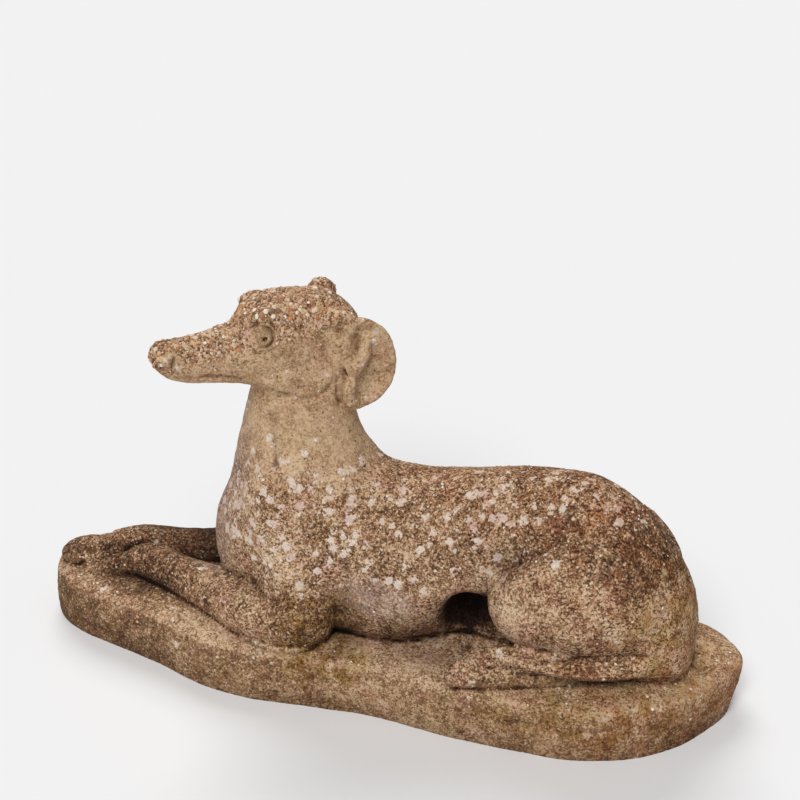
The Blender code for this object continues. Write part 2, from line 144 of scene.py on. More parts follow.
def skin(name, rings):
    """A closed surface over rings of points that have equal counts."""
    shape = bmesh.new()
    rows = [[shape.verts.new(point) for point in ring] for ring in rings]
    for row, following in zip(rows, rows[1:]):
        for i in range(len(row)):
            j = (i + 1) % len(row)
            shape.faces.new((row[i], row[j], following[j], following[i]))
    shape.faces.new(reversed(rows[0]))
    shape.faces.new(rows[-1])
    bmesh.ops.recalc_face_normals(shape, faces=shape.faces)
    return shape_object(name, shape)


def loft(name, stations, place=Matrix.Identity(4), steps=6):
    """Sections across local X. A station is (x, low z, high z, half width, egg).

    A positive egg narrows the top of the section and widens its foot.
    """
    turns = np.linspace(0, 2 * math.pi, RING_POINTS, endpoint=False)
    rings = []
    for x, low, high, half_width, egg in between(stations, steps):
        z = (low + high) / 2 + (high - low) / 2 * np.sin(turns)
        y = half_width * np.cos(turns) * (1 - egg * np.sin(turns))
        rings.append([place @ Vector((x, y[i], z[i])) for i in range(RING_POINTS)])
    return skin(name, rings)


def ellipsoid(name, centre, sizes, turn=(0, 0, 0), place=Matrix.Identity(4)):
    """A ball with these half sizes, turned by these degrees about X, Y and Z."""
    turned = place @ Matrix.Translation(centre)
    for degrees, axis in zip(turn, "XYZ"):
        turned = turned @ Matrix.Rotation(math.radians(degrees), 4, axis)
    shape = bmesh.new()
    bmesh.ops.create_uvsphere(shape, u_segments=48, v_segments=30, radius=1)
    shape.transform(turned @ Matrix.Diagonal((*sizes, 1)))
    return shape_object(name, shape)


def limb(name, points, closed=False, place=Matrix.Identity(4)):
    """A round tube through (x, y, z, radius) points, with its ends filled."""
    curve = bpy.data.curves.new(name, "CURVE")
    curve.dimensions = "3D"
    curve.bevel_depth = 1
    curve.bevel_resolution = 8
    curve.use_fill_caps = True
    rows = between(points, 8, closed)
    spline = curve.splines.new("POLY")
    spline.points.add(len(rows) - 1)
    spline.use_cyclic_u = closed
    for point, (x, y, z, radius) in zip(spline.points, rows):
        point.co = (*(place @ Vector((x, y, z))), 1)
        point.radius = radius
    return as_mesh(new_object(name, curve))


def as_mesh(obj):
    """The object with its modifiers applied, as a plain mesh in its place."""
    bpy.context.view_layer.update()
    evaluated = obj.evaluated_get(bpy.context.evaluated_depsgraph_get())
    mesh = bpy.data.meshes.new_from_object(evaluated)
    mesh.transform(obj.matrix_world)
    name = obj.name
    bpy.data.objects.remove(obj)
    return new_object(name, mesh)


def mirrored(obj):
    """A copy of the object on the dog's other side."""
    mesh = obj.data.copy()
    mesh.transform(Matrix.Diagonal((1, -1, 1, 1)))
    mesh.flip_normals()
    return new_object(obj.name + "_far", mesh)


def merge(name, forms, voxel, smoothing):
    """The forms as one skin, with the seams between them softened."""
    shape = bmesh.new()
    for form in forms:
        shape.from_mesh(form.data)
        bpy.data.objects.remove(form)
    obj = shape_object(name, shape)
    remesh = obj.modifiers.new("Skin", "REMESH")
    remesh.mode = "VOXEL"
    remesh.voxel_size = voxel
    soften = obj.modifiers.new("Soften", "SMOOTH")
    soften.factor = 0.5
    soften.iterations = smoothing
    return as_mesh(obj)


def cut_away(obj, cutters):
    """The object without what lies inside the cutters."""
    for cutter in cutters:
        cut = obj.modifiers.new("Hollow", "BOOLEAN")
        cut.operation = "DIFFERENCE"
        cut.object = cutter
    return as_mesh(obj)


def points_and_normals(mesh):
    points = np.empty(len(mesh.vertices) * 3)
    normals = np.empty(len(mesh.vertices) * 3)
    mesh.vertices.foreach_get("co", points)
    mesh.vertices.foreach_get("normal", normals)
    return points.reshape(-1, 3), normals.reshape(-1, 3)


def set_points(mesh, points):
    mesh.vertices.foreach_set("co", points.ravel())
    mesh.update()


def carve(obj, path, half_width, depth, place=Matrix.Identity(4), ends=0.25):
    """Presses a groove into the surface along the path. A negative depth raises a ridge.

    The groove has its full depth along its middle, and ends times its depth at its ends.
    """
    laid = [obj.closest_point_on_mesh(place @ Vector(point))[1] for point in path]
    line = between(laid, 14)
    run = np.linspace(0, 1, len(line))
    strength = np.minimum(1, np.minimum(run, 1 - run) * 6 + ends)
    points, normals = points_and_normals(obj.data)
    reach = np.linalg.norm(line - line.mean(axis=0), axis=1).max() + half_width
    near = np.flatnonzero(np.linalg.norm(points - line.mean(axis=0), axis=1) < reach)
    nearest = np.full(len(near), np.inf)
    share = np.zeros(len(near))
    for place_on_line, weight in zip(line, strength):
        distance = np.linalg.norm(points[near] - place_on_line, axis=1)
        closer = distance < nearest
        nearest[closer] = distance[closer]
        share[closer] = weight
    fall = np.clip(1 - (nearest / half_width) ** 2, 0, 1) ** 2
    points[near] -= normals[near] * (depth * fall * share)[:, None]
    set_points(obj.data, points)


def make_trunk():
    """Chest, ribs, tucked-up loin and rump, from the breastbone to the tail."""
    return loft("trunk", [
        (-0.236, 0.062, 0.112, 0.016, 0.0),
        (-0.220, 0.017, 0.157, 0.050, 0.0),
        (-0.180, -0.018, 0.202, 0.078, 0.0),
        (-0.110, -0.026, 0.222, 0.095, 0.05),
        (-0.030, -0.029, 0.217, 0.101, 0.12),
        (0.050, -0.024, 0.218, 0.101, 0.12),
        (0.110, 0.010, 0.228, 0.091, 0.05),
        (0.160, 0.062, 0.239, 0.078, 0.0),
        (0.215, 0.067, 0.247, 0.078, 0.0),
        (0.275, 0.027, 0.248, 0.082, 0.10),
        (0.330, -0.008, 0.220, 0.084, 0.20),
        (0.372, -0.018, 0.173, 0.073, 0.20),
        (0.396, -0.016, 0.130, 0.056, 0.10),
        (0.409, 0.002, 0.092, 0.034, 0.10),
    ])


def make_web():
    """The stone left standing under the loin, between the two blind recesses."""
    return ellipsoid("web", (0.165, 0, 0.037), (0.150, 0.040, 0.075))


def make_neck():
    """The arched neck. Local X runs up, and local Z runs to the dog's front."""
    rise = EYE_HEIGHT - NECK_FOOT
    return loft("neck", [
        (0.032, -0.060, 0.222, 0.070, 0.0),
        (0.082, -0.070, 0.232, 0.084, 0.1),
        (0.132, -0.060, 0.224, 0.088, 0.15),
        (NECK_FOOT, -0.022, 0.213, 0.080, 0.15),
        (NECK_FOOT + 0.18 * rise, 0.014, 0.204, 0.069, 0.1),
        (NECK_FOOT + 0.34 * rise, 0.035, 0.196, 0.060, 0.0),
        (NECK_FOOT + 0.50 * rise, 0.044, 0.186, 0.056, 0.0),
        (NECK_FOOT + 0.68 * rise, 0.046, 0.176, 0.054, 0.0),
        (NECK_FOOT + 0.86 * rise, 0.056, 0.160, 0.048, 0.0),
    ], Matrix.Rotation(math.radians(-90), 4, "Y"))


def head_place():
    """Head axes, with the eye line at Z = 0: X runs to the nose, and Y to the head's left, near side."""
    turned = Matrix.Rotation(math.pi + HEAD_TURN, 4, "Z")
    return Matrix.Translation((*HEAD_PLACE, EYE_HEIGHT)) @ turned


def make_skull():
    """Cranium and the long tapering muzzle."""
    return loft("skull", [
        (-0.078, -0.040, -0.008, 0.014, 0.0),
        (-0.066, -0.060, 0.012, 0.034, 0.0),
        (-0.040, -0.082, 0.033, 0.047, -0.05),
        (0.000, -0.092, 0.042, 0.051, -0.05),
        (0.034, -0.087, 0.044, 0.049, -0.05),
        (0.058, -0.079, 0.037, 0.044, -0.05),
        (0.071, -0.075, 0.029, 0.040, 0.0),
        (0.084, -0.071, 0.011, 0.035, 0.0),
        (0.096, -0.069, 0.007, 0.032, 0.0),
        (0.112, -0.066, 0.004, 0.029, 0.05),
        (0.142, -0.062, 0.000, 0.0255, 0.1),
        (0.168, -0.053, -0.002, 0.0230, 0.0),
        (0.184, -0.039, -0.005, 0.0185, 0.0),
        (0.191, -0.025, -0.012, 0.0095, 0.0),
    ], head_place())


def make_ear(side, shift):
    """A folded ear: a rolled rim, thickest at its lower front, round a hollow leaf with a fold."""
    outline = [
        (-0.044, 0.006, 0.046, 0.0060), (-0.066, 0.011, 0.056, 0.0060), (-0.087, -0.005, 0.062, 0.0068),
        (-0.098, -0.036, 0.064, 0.0075), (-0.096, -0.067, 0.062, 0.0075), (-0.081, -0.090, 0.058, 0.0075),
        (-0.060, -0.098, 0.056, 0.0080), (-0.047, -0.094, 0.061, 0.0090), (-0.043, -0.076, 0.064, 0.0085),
        (-0.048, -0.058, 0.063, 0.0070), (-0.055, -0.036, 0.050, 0.0055), (-0.050, -0.012, 0.042, 0.0055),
    ]
    fold_line = [
        (-0.070, -0.012, 0.056, 0.0060), (-0.064, -0.026, 0.063, 0.0085), (-0.058, -0.037, 0.065, 0.0080),
        (-0.050, -0.046, 0.066, 0.0095), (-0.042, -0.050, 0.059, 0.0060),
    ]
    place = head_place()

    def on_head(line):
        laid = np.array([(x, side * out, z, radius) for x, z, out, radius in line])
        laid[:, :3] += shift
        return laid

    rows = on_head(outline)
    root = Vector((-0.049, side * 0.053, 0.004)) + Vector(shift)
    foot = root + Vector((0.008, -side * 0.005, -0.031))
    middle = rows[:, :3].mean(axis=0)
    leaf = ((0.45, -0.005), (0.95, 0.000), (0.95, -EAR_THICKNESS), (0.50, -1.5 * EAR_THICKNESS))
    rings = []
    for share, outward in leaf:
        ring = between(middle + (rows[:, :3] - middle) * share, 6, closed=True)
        ring[:, 1] += side * outward
        rings.append([place @ Vector(point) for point in ring])
    return [
        limb("ear_rim", rows, closed=True, place=place),
        skin("ear_leaf", rings),
        limb("ear_fold", on_head(fold_line), place=place),
        ellipsoid("ear_root", root, (0.0070, 0.0080, 0.0110), (0, 10, 0), place),
        ellipsoid("ear_foot", foot, (0.016, 0.011, 0.025), place=place),
    ]


def make_head():
    """The skull with its brows, eyes, cheeks, nose wings and ears."""
    ball = functools.partial(ellipsoid, place=head_place())
    pieces = [make_skull()]
    for side, ear_shift in ((1, (0, 0, 0)), (-1, (0.018, 0.006, -0.014))):
        pieces += [
            ball("brow", (0.050, side * 0.025, 0.027), (0.021, 0.012, 0.010), (0, 10, side * 14)),
            ball("eye", (EYE_ALONG, side * EYE_OUT, EYE_UP), EYE_SIZES, (0, 0, side * 18)),
            ball("cheek", (0.008, side * 0.026, -0.058), (0.054, 0.028, 0.034), (0, 0, 0)),
            ball("nose_wing", (0.173, side * 0.018, -0.017), (0.012, 0.010, 0.010), (0, 30, 0)),
        ]
        pieces += make_ear(side, ear_shift)
    pieces.append(ball("near_ear_root", (-0.036, 0.040, 0.016), (0.024, 0.013, 0.012), (0, 8, 0)))
    pieces.append(ball("far_ear_root", (-0.043, -0.043, 0.013), (0.020, 0.018, 0.021), (0, 6, 0)))
    return pieces


def make_shoulder():
    """The near shoulder blade and upper arm, which melt into the trunk."""
    return [
        ellipsoid("near_shoulder", (-0.108, -0.054, 0.124), (0.064, 0.047, 0.106), (0, -16, 0)),
        ellipsoid("near_upper_arm", (-0.092, -0.078, 0.062), (0.054, 0.042, 0.062), (0, 0, 0)),
    ]


def make_near_foreleg():
    return [
        ellipsoid("near_elbow", (-0.086, -0.093, 0.030), (0.050, 0.042, 0.044), (0, 0, -15)),
        limb("near_forearm", [
            (-0.085, -0.096, 0.024, 0.043), (-0.150, -0.089, 0.020, 0.040), (-0.220, -0.062, 0.016, 0.034),
            (-0.285, -0.038, 0.014, 0.028), (-0.330, -0.024, 0.017, 0.026), (-0.360, -0.028, 0.010, 0.022),
        ]),
        ellipsoid("near_paw", (-0.384, -0.032, 0.006), (0.042, 0.024, 0.021), (0, -6, 20)),
    ]


def make_far_foreleg():
    """The far foreleg, which reaches further forward."""
    return [
        ellipsoid("far_elbow", (-0.095, 0.090, 0.030), (0.050, 0.040, 0.044), (0, 0, 15)),
        limb("far_forearm", [
            (-0.090, 0.092, 0.026, 0.040), (-0.160, 0.078, 0.024, 0.034), (-0.230, 0.056, 0.020, 0.026),
            (-0.300, 0.034, 0.017, 0.023), (-0.360, 0.014, 0.020, 0.025), (-0.400, -0.004, 0.015, 0.022),
        ]),
        ellipsoid("far_paw", (-0.430, -0.018, 0.010), (0.040, 0.025, 0.022), (0, -4, 24)),
    ]


def make_thigh():
    return [
        ellipsoid("near_thigh", (0.284, -0.056, 0.110), (0.102, 0.058, 0.086), (0, 16, 12)),
        ellipsoid("near_knee", (0.222, -0.075, 0.105), (0.059, 0.045, 0.061)),
    ]


def make_hind_foot():
    """The hock and paw, which lie along the base below the thigh and the tail."""
    return [
        limb("near_hock", [
            (0.325, -0.052, 0.006, 0.007), (0.290, -0.070, 0.007, 0.007), (0.255, -0.086, 0.008, 0.008),
            (0.225, -0.097, 0.009, 0.011), (0.198, -0.106, 0.010, 0.014), (0.176, -0.113, 0.011, 0.017),
        ]),
        ellipsoid("near_hind_paw", (0.161, -0.118, 0.012), (0.040, 0.018, 0.025), (0, -4, 25)),
    ]


def make_tail():
    """The tail, which comes round the rump and lies along the near thigh."""
    radius = TAIL_RADIUS
    return limb("tail", [
        (0.362, 0.044, 0.102, 1.05 * radius), (0.384, 0.040, 0.060, 1.10 * radius),
        (0.390, 0.010, 0.042, 1.05 * radius), (0.380, -0.032, 0.038, 1.05 * radius),
        (0.350, -0.064, 0.036, radius), (0.300, -0.087, 0.034, 0.97 * radius),
        (0.250, -0.098, 0.035, 0.90 * radius), (0.205, -0.103, 0.037, 0.80 * radius),
        (0.170, -0.104, 0.033, 0.65 * radius), (0.150, -0.103, 0.027, 0.45 * radius),
        (0.138, -0.102, 0.020, 0.20 * radius),
    ])


def carve_head(dog):
    """Mouth, nostrils, jaw line, throat and the hollows of the ears."""
    place = head_place()
    for side in (1, -1):

        def line(path, half_width, depth, ends=0.25):
            carve(dog, [(x, side * y, z) for x, y, z in path], half_width, depth, place, ends)

        line([(0.184, 0.012, -0.035), (0.162, 0.022, -0.048), (0.128, 0.030, -0.053)], 0.0040, 0.0034)
        line([(0.138, 0.030, -0.052), (0.100, 0.034, -0.057), (0.086, 0.036, -0.065)], 0.0046, 0.0095)
        line([(0.150, 0.030, -0.058), (0.120, 0.033, -0.062), (0.100, 0.036, -0.067)], 0.0042, -0.0018)
        line([(0.184, 0.019, -0.003), (0.170, 0.025, -0.004), (0.160, 0.028, -0.006)], 0.0045, 0.0035)
        line([(0.160, 0.028, -0.010), (0.162, 0.028, -0.018), (0.170, 0.026, -0.027)], 0.0060, 0.0085)
        line([(0.187, 0.012, -0.014), (0.180, 0.018, -0.012)], 0.0038, 0.0050, ends=1)
        jaw = [(0.060, 0.040, -0.068), (0.038, 0.044, -0.079), (0.014, 0.046, -0.085)]
        line(jaw + [(-0.012, 0.046, -0.078), (-0.029, 0.050, -0.061)], 0.0070, 0.0065)
        gap = [(-0.036, 0.060, -0.054), (-0.033, 0.060, -0.062), (-0.032, 0.058, -0.078)]
        line(gap + [(-0.035, 0.058, -0.102)], 0.0055, 0.0085)
        line([(-0.060, 0.066, 0.008), (-0.060, 0.066, -0.010)], 0.0050, 0.0045, ends=0.6)
        line([(-0.054, 0.066, -0.052), (-0.058, 0.064, -0.066)], 0.0055, 0.0045, ends=0.6)
        leaf = [(-0.070, 0.066, 0.002), (-0.085, 0.070, -0.020), (-0.089, 0.070, -0.050)]
        line(leaf + [(-0.078, 0.068, -0.078), (-0.062, 0.068, -0.088)], 0.0080, 0.0045)
        line([(0.034, 0.014, -0.105), (0.032, 0.020, -0.150), (0.026, 0.024, -0.200)], 0.0100, 0.0042)


def carve_body(dog):
    """Creases that part the legs, the thigh, the tail and the toes."""
    carve(dog, [(-0.024, -0.100, 0.132), (-0.020, -0.100, 0.082), (-0.030, -0.098, 0.032)], 0.016, 0.006)
    carve(dog, [(-0.225, -0.060, 0.162), (-0.220, -0.066, 0.112), (-0.205, -0.080, 0.052)], 0.020, 0.003)
    thigh = [(0.163, -0.090, 0.100), (0.166, -0.088, 0.121), (0.175, -0.086, 0.142)]
    thigh += [(0.196, -0.085, 0.168), (0.224, -0.083, 0.184), (0.256, -0.078, 0.194)]
    carve(dog, thigh, 0.0085, 0.0036)
    tail_crease = [(0.172, -0.115, 0.056), (0.215, -0.115, 0.054), (0.262, -0.110, 0.054)]
    tail_crease += [(0.312, -0.096, 0.055), (0.356, -0.072, 0.057), (0.392, -0.040, 0.060)]
    carve(dog, tail_crease, 0.0060, 0.0070)
    paw_gap = [(-0.428, -0.056, 0.008), (-0.408, -0.050, 0.016), (-0.393, -0.040, 0.021)]
    paw_gap += [(-0.375, -0.022, 0.025), (-0.358, -0.004, 0.028), (-0.340, 0.006, 0.026)]
    carve(dog, paw_gap, 0.0065, 0.0085)
    carve(dog, [(0.134, -0.140, 0.010), (0.155, -0.136, 0.012), (0.190, -0.122, 0.013)], 0.0040, 0.0030)
    under_tail = [(0.150, -0.118, 0.030), (0.180, -0.121, 0.028), (0.215, -0.118, 0.022)]
    under_tail += [(0.255, -0.110, 0.018), (0.300, -0.096, 0.017), (0.350, -0.070, 0.018)]
    carve(dog, under_tail, 0.0050, 0.0060)
    for rise in (0.0, 0.009):
        carve(dog, [(-0.430, -0.060, 0.010 + rise), (-0.400, -0.060, 0.012 + rise)], 0.0040, 0.0022)
        carve(dog, [(-0.475, -0.044, 0.012 + rise), (-0.445, -0.050, 0.014 + rise)], 0.0040, 0.0022)


def base_outline(inset, undercut):
    """Plan of the base as points round it, drawn in by the inset, and by the undercut at its far rear."""
    shares = [
        (-1.000, 0.02), (-0.965, -0.34), (-0.865, -0.58), (-0.710, -0.71), (-0.560, -0.83),
        (-0.410, -0.98), (-0.285, -1.02), (-0.170, -0.99), (-0.060, -0.94), (0.100, -0.90),
        (0.285, -0.95), (0.500, -0.94), (0.650, -0.89), (0.800, -0.68), (0.920, -0.28),
        (1.000, 0.30), (0.940, 0.64), (0.820, 0.82), (0.580, 0.92), (0.250, 0.94),
        (-0.100, 0.93), (-0.400, 0.92), (-0.660, 0.76), (-0.870, 0.48), (-0.965, 0.24),
    ]
    middle = (-0.008, 0.0)
    outline = between(shares, 8, closed=True)
    outline = outline * (BASE_LENGTH / 2, BASE_WIDTH / 2) + middle
    ahead = np.roll(outline, -1, axis=0) - np.roll(outline, 1, axis=0)
    outward = np.stack([ahead[:, 1], -ahead[:, 0]], axis=1)
    outward /= np.linalg.norm(outward, axis=1)[:, None]
    rear = np.clip(outward @ UNDERCUT_TOWARDS, 0, 1) ** 5
    return outline - outward * (inset + undercut * rear)[:, None]


def make_base():
    """The rough slab of ground, rounded at its rim, drawn in below, and humped under the dog."""
    top = BASE_THICKNESS
    levels = [
        (-0.3 * top, 0.000, END_UNDERCUT),
        (0.000, 0.000, END_UNDERCUT),
        (0.25 * top, -0.001, 0.7 * END_UNDERCUT),
        (0.55 * top, -0.001, 0.25 * END_UNDERCUT),
        (top - EDGE_ROUND, 0.001, 0.0),
        (top - 0.6 * EDGE_ROUND, 0.12 * EDGE_ROUND, 0.0),
        (top - 0.3 * EDGE_ROUND, 0.35 * EDGE_ROUND, 0.0),
        (top, EDGE_ROUND, 0.0),
        (top + 0.004, 3 * EDGE_ROUND, 0.0),
    ]
    rings = [[(x, y, z) for x, y in base_outline(inset, under)] for z, inset, under in levels]
    mound_sizes = (0.40 * BASE_LENGTH, 0.41 * BASE_WIDTH, top / 2 + BASE_MOUND)
    mound = ellipsoid("mound", (0.05, 0, top / 2), mound_sizes)
    return [skin("slab", rings), mound]


def carve_base(casting):
    """The narrow slits at the feet, and the strata on the sides."""
    ground = BASE_THICKNESS
    slit = [(-0.410, -0.052), (-0.356, -0.042), (-0.323, -0.051), (-0.286, -0.062), (-0.222, -0.092)]
    slit += [(-0.153, -0.129), (-0.100, -0.140), (-0.062, -0.126), (-0.046, -0.100)]
    carve(casting, [(x, y, ground) for x, y in slit], 0.0036, 0.0026)
    hind = [(0.120, -0.141), (0.149, -0.138), (0.195, -0.122), (0.241, -0.104), (0.287, -0.086)]
    carve(casting, [(x, y, ground) for x, y in hind], 0.0038, 0.0028)
    far_paw = [(-0.468, -0.036, ground), (-0.434, -0.030, ground), (-0.398, -0.022, ground)]
    carve(casting, far_paw, 0.0045, 0.0030)
    carve(casting, [(0.205, -0.152, 0.6 * ground), (0.245, -0.152, 0.65 * ground)], 0.006, 0.003)
    carve(casting, [(0.295, -0.146, 0.6 * ground), (0.350, -0.130, 0.65 * ground)], 0.007, 0.003)
    carve(casting, [(-0.425, -0.085, 0.2 * ground), (-0.330, -0.115, 0.3 * ground)], 0.014, 0.003)


def on_base():
    """Lifts the drawn figure onto the base."""
    return Matrix.Translation((0, 0, BASE_THICKNESS))


def in_head(points):
    """The points in the head's own axes."""
    to_head = np.array((on_base() @ head_place()).inverted())
    return points @ to_head[:3, :3].T + to_head[:3, 3]


def ridge(away, radius, half_width):
    """Height from 0 to 1 of a round ridge with this radius."""
    return np.exp(-((away - radius) / half_width) ** 2)


def eye_relief(away, turn):
    """Height of the carved eye at a distance from the pupil's middle, and a turn up from the nose."""
    button = 0.0026 * step(EYE_BUTTON_RADIUS - away, 0.0, 0.0014) + 0.0018 * ridge(away, 0.0072, 0.0018)
    pupil = -0.0070 * step(PUPIL_RADIUS + 0.0006 - away, 0.0, 0.0010)
    lid_share = 0.30 + 0.70 * step(np.cos(turn - EYELID_TURN), -0.10, 0.60)
    groove = -0.0048 * lid_share ** 1.5 * ridge(away, EYELID_GROOVE_RADIUS, 0.0016)
    lid = 0.0040 * lid_share * ridge(away, EYELID_RADIUS, 0.0028)
    return button + pupil + groove + lid


def carve_eyes(casting):
    """Gives each eye its button, drilled pupil and raised lid, on a finer net of faces."""
    for side in (1, -1):
        centre = np.array((EYE_ALONG + 0.001, side * EYE_OUT, EYE_UP))
        shape = bmesh.new()
        shape.from_mesh(casting.data)
        for reach in (0.028, 0.022):
            middle = on_base() @ head_place() @ Vector(centre)
            picked = [edge for edge in shape.edges if (edge.verts[0].co - middle).length < reach]
            bmesh.ops.subdivide_edges(shape, edges=picked, cuts=1, use_grid_fill=True, smooth=0)
        bmesh.ops.triangulate(shape, faces=[face for face in shape.faces if len(face.verts) > 4])
        shape.to_mesh(casting.data)
        shape.free()
        points, normals = points_and_normals(casting.data)
        place = in_head(points)
        along = place[:, 0] - centre[0]
        up = place[:, 2] - centre[2]
        outer = step(side * place[:, 1], 0.018, 0.026)
        relief = eye_relief(np.hypot(along, up), np.arctan2(up, along))
        outward = np.array(head_place().to_3x3() @ Vector((0.25, side, 0.1))).reshape(1, 3)
        points += outward * (relief * outer)[:, None]
        set_points(casting.data, points)


def flat_underside(mesh):
    """Cuts the mesh off flat at Z = 0, where it stands."""
    shape = bmesh.new()
    shape.from_mesh(mesh)
    every = [*shape.verts, *shape.edges, *shape.faces]
    bmesh.ops.bisect_plane(shape, geom=every, plane_co=(0, 0, 0), plane_no=(0, 0, -1), clear_outer=True)
    rim = [edge for edge in shape.edges if edge.is_boundary]
    bmesh.ops.triangle_fill(shape, use_beauty=True, edges=rim, normal=(0, 0, -1))
    bmesh.ops.recalc_face_normals(shape, faces=shape.faces)
    shape.to_mesh(mesh)
    shape.free()


def lumps(points, size, seed):
    """Smooth noise from -1 to 1 whose lumps are about this size."""
    shift = Vector((seed * 7.3, seed * 3.1, seed * 5.7))
    return np.array([noise.noise(Vector(point) / size + shift) for point in points])


def make_casting():
    """The dog and its base as one fine mesh, drawn where part.py's tables draw it."""
    centres = [(0.132, side * 0.081, 0.051) for side in (1, -1)]
    recesses = [ellipsoid("flank", at, (0.033, 0.060, 0.048)) for at in centres]
    shoulder = make_shoulder()
    flesh = [make_trunk(), make_web(), make_neck(), *shoulder, *map(mirrored, shoulder)]
    flesh = cut_away(merge("flesh", flesh, FLESH_VOXEL, 22), recesses)
    flesh = merge("flesh", [flesh], FLESH_VOXEL, 14)
    haunch = [*make_thigh(), *make_hind_foot()]
    figure = [flesh, make_tail(), *haunch, *map(mirrored, haunch)]
    figure += [*make_near_foreleg(), *make_far_foreleg(), *make_head()]
    dog = merge("dog", figure, CARVING_VOXEL, 9)
    carve_head(dog)
    carve_body(dog)
    dog.data.transform(on_base())
    slab, mound = make_base()
    for recess in recesses:
        recess.data.transform(on_base())
    mound = cut_away(mound, recesses)
    for recess in recesses:
        bpy.data.objects.remove(recess)
    casting = merge("cast_greyhound", [dog, slab, mound], CARVING_VOXEL, 2)
    carve_base(casting)
    return casting


def roughen(mesh):
    """The uneven hand of the old mould, and the weathering of the skin."""
    points, normals = points_and_normals(mesh)
    broad = lumps(points, 0.045, 1)
    small = lumps(points, 0.016, 2)
    fine = lumps(points, 0.0065, 3)
    set_points(mesh, points + normals * (0.0009 * broad + 0.0006 * small + 0.0005 * fine)[:, None])


def smoothed(values, edges, rounds):
    """The values after each vertex has taken the mean of its neighbours' this many times."""
    count = len(values)
    ends = np.concatenate([edges[:, 0], edges[:, 1]])
    others = np.concatenate([edges[:, 1], edges[:, 0]])
    shares = np.bincount(ends, minlength=count)
    for _ in range(rounds):
        columns = [np.bincount(ends, values[others, i], count) for i in range(values.shape[1])]
        values = (values + np.stack(columns, axis=1) / shares[:, None]) / 2
    return values


def keep(mesh, name, values):
    """Stores the values as an attribute of the mesh's vertices."""
    layer = mesh.attributes.new(name, "FLOAT", "POINT")
    layer.data.foreach_set("value", np.clip(values, 0, 1).astype(np.float32))


def ball_of(points, centre, sizes):
    """1 at the centre, falling smoothly to 0 at these distances from it."""
    away = np.sum(((points - centre) / sizes) ** 2, axis=1)
    return np.clip(1 - away, 0, 1) ** 0.5


def patches(points, table, power=1):
    """The sum of a table's patches, each a middle, a reach and a change."""
    return sum(change * ball_of(points, middle, reach) ** power for middle, reach, change in table)


def step(values, start, end):
    """0 before start, 1 after end, and a smooth rise between."""
    t = np.clip((values - start) / (end - start), 0, 1)
    return t * t * (3 - 2 * t)


def lighten(casting):
    """The casting with about TRIANGLES faces, which are finest on the head."""
    points, _ = points_and_normals(casting.data)
    coarse = casting.vertex_groups.new(name="coarse")
    weights = 1 - 0.8 * step(in_head(points)[:, 2], -0.14, -0.08)
    for level in np.unique(np.round(weights, 1)):
        picked = np.flatnonzero(np.round(weights, 1) == level)
        coarse.add(picked.tolist(), float(level), "REPLACE")
    lighter = casting.modifiers.new("Fewer faces", "DECIMATE")
    lighter.ratio = TRIANGLES / (2 * len(casting.data.polygons))
    lighter.vertex_group = coarse.name
    lighter.vertex_group_factor = 1.0
    return as_mesh(casting)


